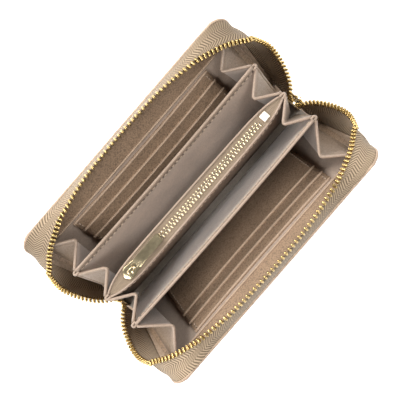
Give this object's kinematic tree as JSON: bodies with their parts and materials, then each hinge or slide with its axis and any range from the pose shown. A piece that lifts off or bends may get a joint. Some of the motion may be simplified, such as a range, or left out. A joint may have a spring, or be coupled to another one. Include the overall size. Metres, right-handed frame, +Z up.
{
  "type": "zip around wallet",
  "caption": "Leather zip around wallet standing open on its spine, with card slots in both covers, two folding dividers and a zipped coin pocket between pleated gussets.",
  "frame": {"origin": "middle of the spine's underside", "axes": "+X along the spine towards the open end of the zip, +Y towards the back cover, +Z up from the spine"},
  "size_m": [0.1708, 0.1079, 0.095],
  "materials": {
    "outer_leather": "pebbled, satin",
    "inner_leather": "fine grain, satin",
    "binding_leather": "smooth, satin",
    "satin_lining": "satin weave",
    "zip_tape": "herringbone weave",
    "board": "plain fibre board",
    "gold_metal": "polished pale gold"
  },
  "bodies": {
    "spine": {"spine_leather": "outer_leather", "spine_lining": "satin_lining", "zip_tail_left": "inner_leather", "zip_tail_right": "inner_leather", "main_zip_bottom_stop": "gold_metal"},
    "main_slider": {"main_zip_slider": "gold_metal"},
    "main_puller": {"main_zip_puller": "gold_metal"},
    "coin_pocket": {"coin_pocket_back_wall": "inner_leather", "coin_pocket_front_wall": "inner_leather", "coin_zip_back_tape": "zip_tape", "coin_zip_front_tape": "zip_tape", "coin_zip_back_teeth": "gold_metal", "coin_zip_front_teeth": "gold_metal", "coin_zip_end_plate": "gold_metal", "coin_zip_top_stops": "gold_metal"},
    "coin_slider": {"coin_zip_slider": "gold_metal"},
    "coin_puller": {"coin_zip_puller": "gold_metal"},
    "back_divider": {"back_divider_leather": "inner_leather", "back_divider_fabric": "satin_lining", "back_divider_binding": "binding_leather", "back_left_gusset_inner": "inner_leather", "back_right_gusset_inner": "inner_leather"},
    "back_cover": {"back_cover_leather": "outer_leather", "back_cover_board": "board", "back_cover_facing": "inner_leather", "back_slip_pocket": "satin_lining", "back_card_slot_top": "inner_leather", "back_card_slot_middle": "inner_leather", "back_card_slot_bottom": "inner_leather", "back_zip_tape": "zip_tape", "back_zip_teeth": "gold_metal", "back_zip_top_stop": "gold_metal", "back_left_gusset_outer": "inner_leather", "back_right_gusset_outer": "inner_leather"},
    "front_divider": {"front_divider_leather": "inner_leather", "front_divider_fabric": "satin_lining", "front_divider_binding": "binding_leather", "front_left_gusset_inner": "inner_leather", "front_right_gusset_inner": "inner_leather"},
    "front_cover": {"front_cover_leather": "outer_leather", "front_cover_board": "board", "front_cover_facing": "inner_leather", "front_slip_pocket": "satin_lining", "front_card_slot_top": "inner_leather", "front_card_slot_middle": "inner_leather", "front_card_slot_bottom": "inner_leather", "front_zip_tape": "zip_tape", "front_zip_teeth": "gold_metal", "front_zip_top_stop": "gold_metal", "front_left_gusset_outer": "inner_leather", "front_right_gusset_outer": "inner_leather"}
  },
  "joints": [
    {"name": "back_cover_fold", "type": "hinge", "parent": "spine", "child": "back_cover", "pos_m": [0, 0.011, 0.0026], "axis": [-1, 0, 0], "range_deg": [-27, 12], "deforming": ["back_zip_tape", "back_zip_teeth", "back_zip_top_stop", "back_left_gusset_outer", "back_right_gusset_outer"]},
    {"name": "front_cover_fold", "type": "hinge", "parent": "spine", "child": "front_cover", "pos_m": [0, -0.011, 0.0026], "axis": [1, 0, 0], "range_deg": [-25, 12], "deforming": ["front_zip_tape", "front_zip_teeth", "front_zip_top_stop", "front_left_gusset_outer", "front_right_gusset_outer"]},
    {"name": "back_divider_turn", "type": "hinge", "parent": "spine", "child": "back_divider", "pos_m": [0, 0.011, 0.0026], "axis": [-1, 0, 0], "range_deg": [-14.6, 6.76], "deforming": ["back_left_gusset_inner", "back_right_gusset_inner"]},
    {"name": "front_divider_turn", "type": "hinge", "parent": "spine", "child": "front_divider", "pos_m": [0, -0.011, 0.0026], "axis": [1, 0, 0], "range_deg": [-6.8, 3.64], "deforming": ["front_left_gusset_inner", "front_right_gusset_inner"]},
    {"name": "coin_pocket_lean", "type": "hinge", "parent": "spine", "child": "coin_pocket", "pos_m": [0, 0, 0.0026], "axis": [-1, 0, 0], "range_deg": [-3.4, 1.96]},
    {"name": "coin_slider_slide", "type": "slide", "parent": "coin_pocket", "child": "coin_slider", "axis": [1, 0, 0], "range_m": [0, 0.089], "deforming": ["coin_zip_back_teeth", "coin_zip_front_teeth", "coin_zip_back_tape", "coin_zip_front_tape"]},
    {"name": "coin_puller_turn", "type": "hinge", "parent": "coin_slider", "child": "coin_puller", "pos_m": [-0.0487, 0.00444, 0.07727], "axis": [0, -0.9982, 0.0593], "range_deg": [0, 172]},
    {"name": "main_slider_slide", "type": "slide", "parent": "spine", "child": "main_slider", "axis": [0, 0, 1], "range_m": [0, 0.003]},
    {"name": "main_puller_turn", "type": "hinge", "parent": "main_slider", "child": "main_puller", "pos_m": [0.07585, 0, 0.0184], "axis": [0, -1, 0], "range_deg": [0, 150]}
  ],
  "couplings": [
    {"joint": "back_divider_turn", "follows": "back_cover_fold", "ratio": 0.52143},
    {"joint": "front_divider_turn", "follows": "front_cover_fold", "ratio": 0.26154},
    {"joint": "coin_pocket_lean", "follows": "back_cover_fold", "ratio": 0.12143}
  ]
}
